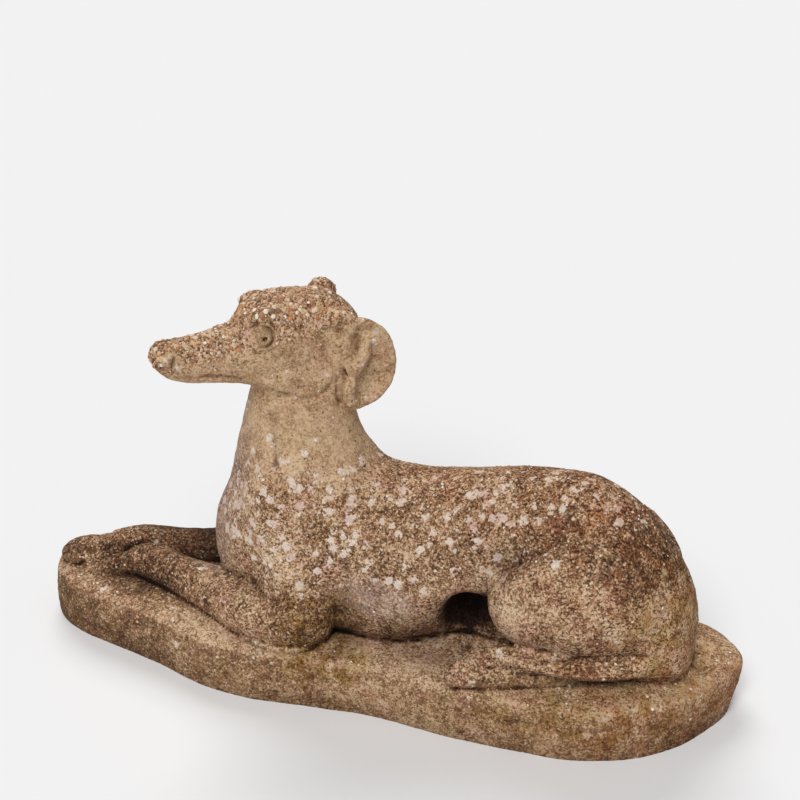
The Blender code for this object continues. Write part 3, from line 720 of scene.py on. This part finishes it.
def survey(mesh, shift):
    """Stores where the stone is worn open; where it is hollow or faces down, for dirt and painted shade,
    and darker towards the bottom of the base; and where it is crusted with lichen, algae and iron stain.
    """
    points, normals = points_and_normals(mesh)
    edges = np.empty(len(mesh.edges) * 2, int)
    mesh.edges.foreach_get("vertices", edges)
    edges = edges.reshape(-1, 2)
    near = smoothed(points, edges, 10)
    wide = smoothed(near, edges, 60)
    hollow = np.sum((near - points) * normals, axis=1)
    deep = np.sum((wide - points) * normals, axis=1)
    # Small hollows, darkened later with dirt and painted shade
    keep(mesh, "crease_dirt_and_shade", step(hollow, 0.0003, 0.0022))
    drawn = points - shift
    up = normals[:, 2]
    height = drawn[:, 2]
    face = in_head(drawn)
    eyes = sum(ball_of(face, (EYE_ALONG, side * EYE_OUT, EYE_UP), (0.017, 0.02, 0.017)) for side in (1, -1))
    noses = sum(ball_of(face, (0.170, side * 0.026, -0.018), (0.014, 0.012, 0.012)) for side in (1, -1))
    kept_plain = np.clip(1.6 * (eyes + noses), 0, 1)
    is_head = step(face[:, 2], -0.105, -0.085)
    crown = is_head * step(face[:, 2] + 0.22 * face[:, 0], -0.012, 0.016) * (1 - kept_plain)
    keep(mesh, "crown", crown)
    lower_face = is_head * (1 - crown)
    neck = step(height, 0.250, 0.330) * (1 - is_head) * step(0.03 - drawn[:, 0], 0.0, 0.07)
    body = (1 - is_head) * (1 - neck)
    back = body * step(height, 0.200, 0.290) * step(up, 0.0, 0.7)
    ground = step(0.100 - height, 0.0, 0.020) * step(up, 0.2, 0.8)
    slab = step(0.094 - height, 0.0, 0.020)
    opened = 0.95 * crown + 0.14 * lower_face + 0.08 * neck + body * 0.27 + 0.25 * back + 0.16 * ground
    hollows = [((0.132, side * 0.05, 0.115), (0.060, 0.08, 0.060)) for side in (1, -1)]
    for centre, sizes in hollows:
        opened *= 1 - ball_of(drawn, centre, sizes)
    opened *= step(height, 0.004, 0.012) * (1 - kept_plain)
    keep(mesh, "opened", opened - 0.12 * slab * (1 - ground))
    keep(mesh, "smooth", 0.8 * lower_face + 0.9 * neck + slab * (0.45 - 0.15 * ground))
    tone = 0.50 + 0.28 * lower_face + 0.30 * neck + 0.12 * crown
    tone += slab * (0.30 * ground - 0.04)
    keep(mesh, "tone", tone + patches(drawn, TONES))
    # Painted shade on the body's down-facing undersides, and dirt with painted shade in deep hollows
    soil_and_shade = 0.45 * body * step(-up, 0.0, 0.8) * step(height, 0.06, 0.08) + step(deep, 0.0030, 0.0110)
    # The base darker towards the bottom
    soil_and_shade += 0.3 * step(0.036 - height, 0.0, 0.03)
    keep(mesh, "soil_and_shade", soil_and_shade + patches(drawn, SOILED_AND_SHADED, 2))
    keep(mesh, "bloom", patches(drawn, BLOOMED) * (1 - is_head))
    keep(mesh, "lichen", 0.3 * back + patches(drawn, LICHENED))
    keep(mesh, "algae", 0.35 * step(0.066 - height, 0.0, 0.02) + patches(drawn, GREENED))
    keep(mesh, "iron", 0.6 * back + 0.5 * crown + 0.8 * body * step(drawn[:, 0], 0.18, 0.34))


class Value:
    """A number that varies over a surface. Arithmetic on it adds Math nodes."""

    def __init__(self, nodes, socket):
        self.nodes = nodes
        self.socket = socket

    def maths(self, operation, *values, clamp=False):
        settings = {"operation": operation, "use_clamp": clamp}
        return self.nodes.value("ShaderNodeMath", settings, dict(enumerate(values)))

    def __add__(self, other):
        return self.maths("ADD", self, other)

    def __mul__(self, other):
        return self.maths("MULTIPLY", self, other)

    def __sub__(self, other):
        return self.maths("SUBTRACT", self, other)

    def __rsub__(self, other):
        return self.maths("SUBTRACT", other, self)

    __radd__ = __add__
    __rmul__ = __mul__

    def clamped(self):
        return self.maths("ADD", self, 0, clamp=True)

    def above(self, start, end):
        """0 below start, 1 above end, and a smooth rise between."""
        settings = {"interpolation_type": "SMOOTHSTEP"}
        return self.nodes.value("ShaderNodeMapRange", settings, {0: self, 1: start, 2: end})

    def below(self, start, end):
        """1 below start, 0 above end, and a smooth fall between."""
        return 1 - self.above(start, end)


class Nodes:
    """A node tree under construction, kept as self.tree."""

    def node(self, kind, settings, inputs):
        """Adds a node: its settings first, then its sockets' values or links. Gives its outputs."""
        node = self.tree.nodes.new(kind)
        for name, setting in settings.items():
            if name == "stops":
                self.set_stops(node.color_ramp, *setting)
            else:
                setattr(node, name, setting)
        self.feed(node, inputs)
        return node.outputs

    def feed(self, node, inputs):
        for name, given in inputs.items():
            given = given.socket if isinstance(given, Value) else given
            if isinstance(given, bpy.types.NodeSocket):
                self.tree.links.new(given, node.inputs[name])
            else:
                node.inputs[name].default_value = given

    def vectors(self, operation, first, second):
        return self.node("ShaderNodeVectorMath", {"operation": operation}, {0: first, 1: second})[0]

    def scaled(self, vector, amount):
        return self.node("ShaderNodeVectorMath", {"operation": "SCALE"}, {0: vector, "Scale": amount})[0]

    def set_stops(self, ramp, interpolation, stops):
        ramp.interpolation = interpolation
        while len(ramp.elements) < len(stops):
            ramp.elements.new(1)
        for element, (position, colour) in zip(ramp.elements, stops):
            element.position = position
            element.color = srgb(*colour)


class Finish(Nodes):
    """A material under construction."""

    def __init__(self, name):
        self.material = bpy.data.materials.new(name)
        self.material.use_nodes = True
        self.tree = self.material.node_tree
        self.shader = self.tree.nodes["Principled BSDF"]
        self.place = self.node("ShaderNodeTexCoord", {}, {})["Object"]

    def value(self, kind, settings, inputs, output=0):
        return Value(self, self.node(kind, settings, inputs)[output])

    def kept(self, name):
        """The attribute of that name that survey stored on the mesh."""
        return self.value("ShaderNodeAttribute", {"attribute_name": name}, {}, "Fac")

    def clouds(self, size, detail=3, roughness=0.55, seed=0.0):
        """Noise from 0 to 1 whose clouds are about this size."""
        place = self.shifted(seed)
        inputs = {"Vector": place, "Scale": 1 / size, "Detail": detail, "Roughness": roughness}
        return self.value("ShaderNodeTexNoise", {}, inputs, "Fac")

    def shifted(self, seed):
        return self.vectors("ADD", self.place, (seed, 1.7 * seed, 0.6 * seed))

    def grains(self, size, wobble, seed=0.0):
        """Irregular cells about this size: (distance from the middle, in cells, and two random numbers)."""
        place = self.shifted(seed)
        stir = {"Vector": place, "Scale": 2.2 / size, "Detail": 1.0}
        stirred = self.node("ShaderNodeTexNoise", {}, stir)["Color"]
        centred = self.vectors("SUBTRACT", stirred, (0.5, 0.5, 0.5))
        place = self.vectors("ADD", place, self.scaled(centred, wobble * size))
        cells = self.node("ShaderNodeTexVoronoi", {}, {"Vector": place, "Scale": 1 / size})
        split = self.node("ShaderNodeSeparateColor", {}, {0: cells["Color"]})
        return Value(self, cells["Distance"]), Value(self, split[0]), Value(self, split[1])

    def ramp(self, factor, stops, interpolation="LINEAR"):
        return self.node("ShaderNodeValToRGB", {"stops": (interpolation, stops)}, {0: factor})[0]

    def mixed(self, amount, first, second, blend="MIX"):
        settings = {"data_type": "RGBA", "blend_type": blend, "clamp_factor": True}
        return self.node("ShaderNodeMix", settings, {0: amount, 6: first, 7: second})[2]


def srgb(red, green, blue):
    """A colour given from 0 to 255 as a screen shows it, as the linear colour that a shader takes."""
    shares = [channel / 255 for channel in (red, green, blue)]
    linear = [s / 12.92 if s <= 0.04045 else ((s + 0.055) / 1.055) ** 2.4 for s in shares]
    return (*linear, 1.0)


# Patches of the skin on the drawn figure: middle, reach, and change
TONES = [
    ((-0.12, -0.13, 0.24), (0.14, 0.12, 0.14), 0.16),
    ((0.22, -0.13, 0.16), (0.07, 0.06, 0.06), 0.20),
    ((0.05, -0.10, 0.12), (0.12, 0.08, 0.06), 0.08),
    ((0.34, -0.02, 0.30), (0.18, 0.16, 0.10), -0.20),
    ((0.42, -0.07, 0.15), (0.07, 0.10, 0.12), 0.36),
    ((0.26, -0.10, 0.20), (0.07, 0.06, 0.05), 0.12),
    ((0.16, -0.15, 0.03), (0.30, 0.07, 0.05), 0.16),
    ((-0.06, -0.13, 0.12), (0.05, 0.06, 0.06), -0.20),
    ((0.0, 0.0, 0.0), (0.70, 0.40, 0.095), -0.05),
    ((-0.40, -0.04, 0.04), (0.20, 0.16, 0.07), -0.28),
    # Partly painted shade: the far foreleg darker where the chest and neck shade it
    ((-0.30, 0.08, 0.10), (0.18, 0.09, 0.08), -0.34),
    ((-0.30, -0.04, 0.09), (0.12, 0.06, 0.06), -0.38),
]
# Dirt and painted shade: the far foreleg in the shade of the chest and neck, where the near foreleg and the
# belly meet the base, the flank recesses, behind the elbow, the belly beside the recess, and the groove
# above the thigh
SOILED_AND_SHADED = [
    ((-0.26, 0.040, 0.11), (0.15, 0.060, 0.08), 0.85),
    ((-0.34, -0.06, 0.075), (0.06, 0.03, 0.03), 0.4),
    ((0.04, -0.07, 0.078), (0.14, 0.05, 0.026), 0.2),
    ((0.132, -0.036, 0.130), (0.050, 0.064, 0.052), 1.35),
    ((0.132, 0.036, 0.130), (0.050, 0.064, 0.052), 1.35),
    ((-0.02, -0.10, 0.10), (0.030, 0.05, 0.05), 0.5),
    ((0.090, -0.080, 0.105), (0.070, 0.06, 0.050), 0.45),
    ((0.185, -0.09, 0.235), (0.035, 0.04, 0.035), 0.4),
]
LICHENED = [
    ((-0.10, -0.10, 0.24), (0.13, 0.12, 0.10), 1.20),
    ((0.16, -0.06, 0.28), (0.07, 0.09, 0.07), 0.7),
    ((0.05, -0.09, 0.24), (0.14, 0.10, 0.08), 0.45),
    ((-0.20, -0.06, 0.22), (0.05, 0.06, 0.05), 0.7),
]
BLOOMED = [
    ((-0.225, -0.02, 0.28), (0.070, 0.09, 0.20), 1.0),
    ((0.02, -0.12, 0.15), (0.08, 0.04, 0.04), 1.0),
]
GREENED = [
    ((-0.04, -0.14, 0.10), (0.07, 0.08, 0.08), 1.3),
    ((0.40, -0.02, 0.16), (0.09, 0.14, 0.15), 0.9),
    ((0.30, -0.12, 0.06), (0.16, 0.06, 0.05), 0.7),
]

GRAIN_COLOURS = [
    (0.00, (206, 142, 88)), (0.08, (182, 120, 76)), (0.18, (224, 180, 130)),
    (0.32, (236, 214, 186)), (0.46, (226, 192, 164)), (0.60, (190, 150, 114)),
    (0.73, (142, 106, 80)), (0.83, (168, 144, 126)), (0.87, (94, 70, 56)),
    (0.90, (250, 238, 222)),
]


def finish_stone():
    """Buff cement with sand and grit showing, soiled and darkened with painted shade in its hollows and on
    its undersides, lichened and stained.
    """
    stone = Finish("composition_stone")
    opened = stone.kept("opened")
    smooth = stone.kept("smooth")
    crease_dirt_and_shade = stone.kept("crease_dirt_and_shade")
    soil_and_shade = stone.kept("soil_and_shade")
    broad = stone.clouds(0.055, 3, 0.6)
    blotch = stone.clouds(0.014, 3, 0.65, 3.1)
    mottle = stone.clouds(0.0038, 4, 0.75, 5.3)
    speckle = stone.clouds(0.0018, 2, 0.6, 8.3)
    sand_away, sand_pick, sand_other = stone.grains(SAND_SIZE, 0.9)
    # Weathered skin: pale specks and clumps over brown
    tone = (stone.kept("tone") - 0.5) * 0.50 + (broad - 0.5) * 0.60 + (blotch - 0.5) * 0.60
    grainy = (mottle - 0.5) * 0.98 + (speckle - 0.5) * 0.85 + (sand_pick - 0.5) * 0.40
    weathered = stone.ramp(0.5 + tone + grainy, [
        (0.10, (56, 39, 28)), (0.30, (100, 71, 49)), (0.46, (142, 106, 76)),
        (0.58, (180, 143, 108)), (0.76, (224, 197, 164)),
    ])
    cement = stone.ramp(0.5 + tone + grainy * 0.55, [
        (0.20, (112, 82, 56)), (0.50, (168, 133, 98)), (0.85, (214, 184, 146)),
    ])
    colour = stone.mixed(smooth, weathered, cement)
    # Sand: light and dark specks of about a millimetre
    speck = stone.ramp(sand_pick, [
        (0.00, (70, 52, 42)), (0.25, (112, 84, 64)), (0.50, (176, 142, 108)),
        (0.75, (222, 198, 168)), (0.94, (240, 224, 200)),
    ], "CONSTANT")
    sandy = sand_other.above(0.70, 0.80) * sand_away.below(0.35, 0.55) * (0.75 - 0.45 * smooth)
    colour = stone.mixed(sandy, colour, speck)
    # Grit: orange, cream, grey and brown grains of 3 to 5 mm
    grit_away, grit_pick, grit_other = stone.grains(GRIT_SIZE, 1.0, 1.9)
    grit_colour = stone.ramp(grit_pick, GRAIN_COLOURS, "CONSTANT")
    grit = (grit_other + opened * 0.30).above(0.95, 0.98) * grit_away.below(0.30, 0.46)
    colour = stone.mixed(grit * 0.7, colour, grit_colour)
    # Lichen: pale lobed patches of about a centimetre
    patch_away, patch_pick, patch_other = stone.grains(LICHEN_SIZE, 1.0, 9.2)
    covered = (patch_other + 0.66 * stone.kept("lichen") + (broad - 0.5) * 0.9).above(0.98, 1.02)
    lobes = patch_away + (mottle - 0.5) * 0.85 + (speckle - 0.5) * 0.30 - 0.22 * patch_pick
    lichen = covered * lobes.below(0.28, 0.33)
    lichen_colour = stone.ramp(speckle, [(0.30, (206, 184, 168)), (0.65, (246, 232, 218))])
    colour = stone.mixed(lichen * 0.9, colour, lichen_colour)
    # Stains, and dirt with painted shade in the hollows, recesses and undersides
    flushed = stone.clouds(0.034, 3, 0.6, 2.2).above(0.48, 0.66) * (1 - 0.6 * smooth)
    colour = stone.mixed(flushed * 0.8, colour, srgb(244, 226, 232), "MULTIPLY")
    bloom = stone.kept("bloom") * (0.3 + 0.7 * (blotch + mottle - 0.5).above(0.30, 0.75))
    colour = stone.mixed(bloom * 0.6, colour, srgb(192, 167, 158))
    iron = stone.kept("iron") * stone.clouds(0.030, 3, 0.6, 4.4).above(0.35, 0.70)
    algae = stone.kept("algae") * stone.clouds(0.022, 3, 0.6, 6.6).above(0.35, 0.65)
    stains = [
        (iron * 0.65, (216, 156, 104)),
        (algae * 0.85, (188, 170, 90)),
        # Dirt and painted shade in the small hollows
        ((crease_dirt_and_shade + (mottle - 0.5) * crease_dirt_and_shade).clamped(), (112, 84, 64)),
        # Dirt and painted shade in the recesses, on the undersides and the far foreleg, deepest where
        # strongest, and the base darker towards the bottom
        ((soil_and_shade * (0.6 + mottle * 0.6)).clamped(), (104, 78, 60)),
        (soil_and_shade.above(0.75, 1.0) * 0.8, (90, 66, 50)),
    ]
    for amount, tint in stains:
        colour = stone.mixed(amount, colour, srgb(*tint), "MULTIPLY")
    # Pits
    pit_away, pit_pick, _ = stone.grains(PIT_SPACING, 0.5, 7.7)
    pit = pit_away.below(0.10, 0.16) * pit_pick.above(0.55, 0.60)
    colour = stone.mixed(pit * 0.75, colour, srgb(66, 46, 34))
    relief = grit * (1 - grit_away) * 0.9 + sand_away.below(0.1, 0.6) * 0.25 + speckle * 0.6
    relief = relief + mottle * 0.9 - pit * 1.2
    bump = stone.node("ShaderNodeBump", {}, {"Height": relief, "Strength": 0.9, "Distance": 0.0012})[0]
    stone.feed(stone.shader, {"Base Color": colour, "Roughness": 0.95 - 0.14 * grit, "Normal": bump})
    stone.feed(stone.shader, {"Specular IOR Level": 0.25})
    return stone.material


def finish_grains():
    """The pebbles of the aggregate, each of one colour, thinly filmed with cement and dirt, and darkened by
    the dirt and painted shade of the skin beneath.
    """
    grain = Finish("aggregate_grain")
    pick = grain.kept("grain_pick")
    colour = grain.ramp(pick, GRAIN_COLOURS, "CONSTANT")
    film = grain.clouds(0.0022, 3, 0.7)
    colour = grain.mixed(0.04 + film.above(0.50, 0.72) * 0.38, colour, srgb(164, 128, 98))
    colour = grain.mixed(film.below(0.32, 0.46) * 0.45, colour, srgb(84, 62, 46))
    # Dirt and painted shade of the skin beneath, on the grains too
    soil_and_shade = (grain.kept("soil_and_shade") * (0.7 + film * 0.6)).clamped()
    colour = grain.mixed(soil_and_shade, colour, srgb(96, 72, 56), "MULTIPLY")
    bump = grain.node("ShaderNodeBump", {}, {"Height": film, "Strength": 0.6, "Distance": 0.0005})[0]
    grain.feed(grain.shader, {"Base Color": colour, "Roughness": 0.55 + 0.35 * film, "Normal": bump})
    return grain.material


def finish_floor():
    floor = Finish("studio_floor")
    pale = {"Base Color": (0.90, 0.90, 0.905, 1), "Roughness": 0.9, "Specular IOR Level": 0.0}
    floor.feed(floor.shader, pale)
    return floor.material


class Growth(Nodes):
    """A Geometry Nodes tree under construction."""

    def __init__(self, name):
        self.tree = bpy.data.node_groups.new(name, "GeometryNodeTree")
        self.tree.interface.new_socket("Geometry", in_out="OUTPUT", socket_type="NodeSocketGeometry")
        self.inputs = self.tree.nodes.new("NodeGroupInput")

    def named_input(self, name, kind):
        self.tree.interface.new_socket(name, in_out="INPUT", socket_type=kind)

    def use_on(self, obj, values):
        """Adds the tree to the object, with its inputs set by their identifiers."""
        modifier = obj.modifiers.new(self.tree.name, "NODES")
        modifier.node_group = self.tree
        for item in self.tree.interface.items_tree:
            if item.in_out == "INPUT" and item.name in values:
                modifier[item.identifier] = values[item.name]


def grain_tree():
    """Scatters grains over a skin where its attribute "opened" is high, each sunk by part of its size."""
    growth = Growth("Exposed aggregate")
    growth.named_input("Skin", "NodeSocketGeometry")
    for name in ("Spacing", "Grains per square metre", "Smallest grain", "Largest grain"):
        growth.named_input(name, "NodeSocketFloat")
    growth.named_input("Seed", "NodeSocketInt")
    growth.named_input("Grain finish", "NodeSocketMaterial")
    given = growth.inputs.outputs

    def kept(name):
        return growth.node("GeometryNodeInputNamedAttribute", {"data_type": "FLOAT"}, {"Name": name})[0]

    def maths(operation, first, second):
        return growth.node("ShaderNodeMath", {"operation": operation}, {0: first, 1: second})[0]

    def random(kind, low, high, seed):
        names = {"FLOAT": (2, 3, 1), "FLOAT_VECTOR": (0, 1, 0)}[kind]
        inputs = {names[0]: low, names[1]: high, "Seed": seed}
        return growth.node("FunctionNodeRandomValue", {"data_type": kind}, inputs)[names[2]]

    def grow(kind, inputs, **settings):
        return growth.node("GeometryNode" + kind, settings, inputs)

    sowing = {
        "Mesh": given["Skin"],
        "Distance Min": given["Spacing"],
        "Density Max": given["Grains per square metre"],
        "Density Factor": maths("POWER", kept("opened"), 2.0),
        "Seed": given["Seed"],
    }
    scattered = grow("DistributePointsOnFaces", sowing, distribute_method="POISSON")
    ball = grow("MeshUVSphere", {"Segments": 6, "Rings": 5, "Radius": 0.5})[0]
    ball = grow("SetShadeSmooth", {0: ball})[0]
    skew = maths("POWER", random("FLOAT", 0.0, 1.0, 11), GRAIN_SKEW)
    span = maths("SUBTRACT", given["Largest grain"], given["Smallest grain"])
    crowned = maths("ADD", 0.45, maths("MULTIPLY", kept("crown"), 0.55))
    size = maths("ADD", given["Smallest grain"], maths("MULTIPLY", maths("MULTIPLY", span, skew), crowned))
    shape = random("FLOAT_VECTOR", (0.75, 0.65, 0.50), (1.15, 1.0, 0.80), 12)
    sized = growth.scaled(shape, size)
    laid = {"Points": scattered[0], "Instance": ball, "Rotation": scattered["Rotation"], "Scale": sized}
    placed = grow("InstanceOnPoints", laid)[0]
    spin = growth.node("ShaderNodeCombineXYZ", {}, {"Z": random("FLOAT", 0.0, 6.283, 13)})[0]
    tilt = random("FLOAT_VECTOR", (-0.35, -0.35, 0.0), (0.35, 0.35, 0.0), 14)
    turn = growth.vectors("ADD", spin, tilt)
    turned = grow("RotateInstances", {"Instances": placed, "Rotation": turn})[0]
    colour = {"Geometry": turned, "Name": "grain_pick", "Value": random("FLOAT", 0.0, 1.0, 15)}
    marked = grow("StoreNamedAttribute", colour, data_type="FLOAT", domain="INSTANCE")[0]
    sunk = growth.node("ShaderNodeCombineXYZ", {}, {"Z": -GRAIN_SINK})[0]
    settled = grow("TranslateInstances", {"Instances": marked, "Translation": sunk, "Local Space": True})[0]
    real = grow("RealizeInstances", {0: settled})[0]
    finished = grow("SetMaterial", {"Geometry": real, "Material": given["Grain finish"]})[0]
    end = growth.tree.nodes.new("NodeGroupOutput")
    growth.tree.links.new(finished, end.inputs[0])
    return growth


def scatter_grains(casting):
    """The larger grains that stand out of the casting's skin, as one plain mesh."""
    grains = new_object("exposed_aggregate", casting.data.copy())
    values = {
        "Spacing": GRAIN_SPACING,
        "Grains per square metre": float(GRAINS_PER_SQUARE_METRE),
        "Smallest grain": SMALLEST_GRAIN,
        "Largest grain": LARGEST_GRAIN,
        "Seed": 7,
        "Grain finish": finish_grains(),
    }
    grain_tree().use_on(grains, values)
    return as_mesh(grains)


def direction(azimuth, height):
    """Points away from the object, azimuth round from the dog's left side towards its rear."""
    flat = math.cos(height)
    return Vector((math.sin(azimuth) * flat, -math.cos(azimuth) * flat, math.sin(height)))


def aim(obj, back):
    """Turns the object's back to this direction."""
    obj.rotation_mode = "QUATERNION"
    obj.rotation_quaternion = back.to_track_quat("Z", "Y")


def light(name, azimuth, height, width, power):
    """A soft light far away: the camera's way of giving directions, and its width, in degrees."""
    data = bpy.data.lights.new(name, "SUN")
    data.angle = math.radians(width)
    data.energy = power
    aim(new_object(name, data), direction(math.radians(azimuth), math.radians(height)))


def set_studio():
    """A pale floor, soft light from the front and above, and the photograph's view."""
    shape = bmesh.new()
    bmesh.ops.create_grid(shape, x_segments=8, y_segments=8, size=12)
    floor = shape_object("studio_floor", shape)
    floor.data.materials.append(finish_floor())
    world = bpy.data.worlds.new("studio")
    world.use_nodes = True
    background = world.node_tree.nodes["Background"].inputs
    background["Color"].default_value = (1.0, 1.0, 1.0, 1)
    background["Strength"].default_value = SKY_POWER
    bpy.context.scene.world = world
    light("front", 5, 50, 30, 1.95)
    light("behind", 210, 46, 34, 1.32)
    data = bpy.data.cameras.new("camera")
    data.lens = CAMERA_LENS
    data.sensor_width = 36
    camera = new_object("camera", data)
    back = direction(CAMERA_AZIMUTH, CAMERA_HEIGHT)
    camera.location = Vector(CAMERA_TARGET) + back * CAMERA_DISTANCE
    aim(camera, back)
    bpy.context.scene.camera = camera
    bpy.context.scene.view_settings.view_transform = "Standard"


def box_middle(corners):
    low, high = (np.array(corner) for corner in corners)
    return (low + high) / 2


def main():
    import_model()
    casting = make_casting()
    points, _ = points_and_normals(casting.data)
    shift = box_middle(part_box("greyhound_on_base")) - box_middle((points.min(axis=0), points.max(axis=0)))
    shift[2] = 0
    roughen(casting.data)
    casting = lighten(casting)
    carve_eyes(casting)
    flat_underside(casting.data)
    casting.data.transform(Matrix.Translation(shift))
    survey(casting.data, shift)
    casting.data.shade_smooth()
    grains = scatter_grains(casting)
    casting.data.materials.append(finish_stone())
    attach(casting, "root")
    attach(grains, "root")
    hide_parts("greyhound_on_base")
    set_studio()


main()
